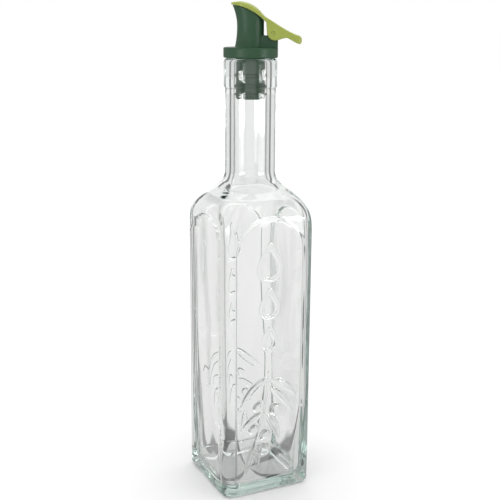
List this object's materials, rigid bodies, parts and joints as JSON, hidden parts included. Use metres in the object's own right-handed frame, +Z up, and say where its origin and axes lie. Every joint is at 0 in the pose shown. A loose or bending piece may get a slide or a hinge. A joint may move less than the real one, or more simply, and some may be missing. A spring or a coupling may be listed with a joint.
{
  "type": "oil dispenser",
  "caption": "Tall square glass oil bottle with arched relief panels, closed by a green plastic pourer with a hinged lever lid.",
  "frame": {"origin": "middle of the base, on the surface that the bottle stands on", "axes": "+Z up along the bottle; -Y out of the front panel with its relief; the lever of the lid points between +X and -Y"},
  "size_m": [0.059, 0.059, 0.295],
  "materials": {
    "clear_glass": "clear pressed glass, faintly green in its edges",
    "green_plastic": "dark green satin plastic",
    "lime_plastic": "lime green smooth plastic"
  },
  "bodies": {
    "bottle": {"glass_bottle": "clear_glass", "pourer": "green_plastic", "hinge_pin": "lime_plastic"},
    "lid": {"pour_lid": "lime_plastic"}
  },
  "joints": [
    {"name": "lid_hinge", "type": "hinge", "parent": "bottle", "child": "lid", "pos_m": [0.01151, -0.00549, 0.2773], "axis": [0.4305, 0.9026, 0], "range_deg": [0, 35]}
  ]
}
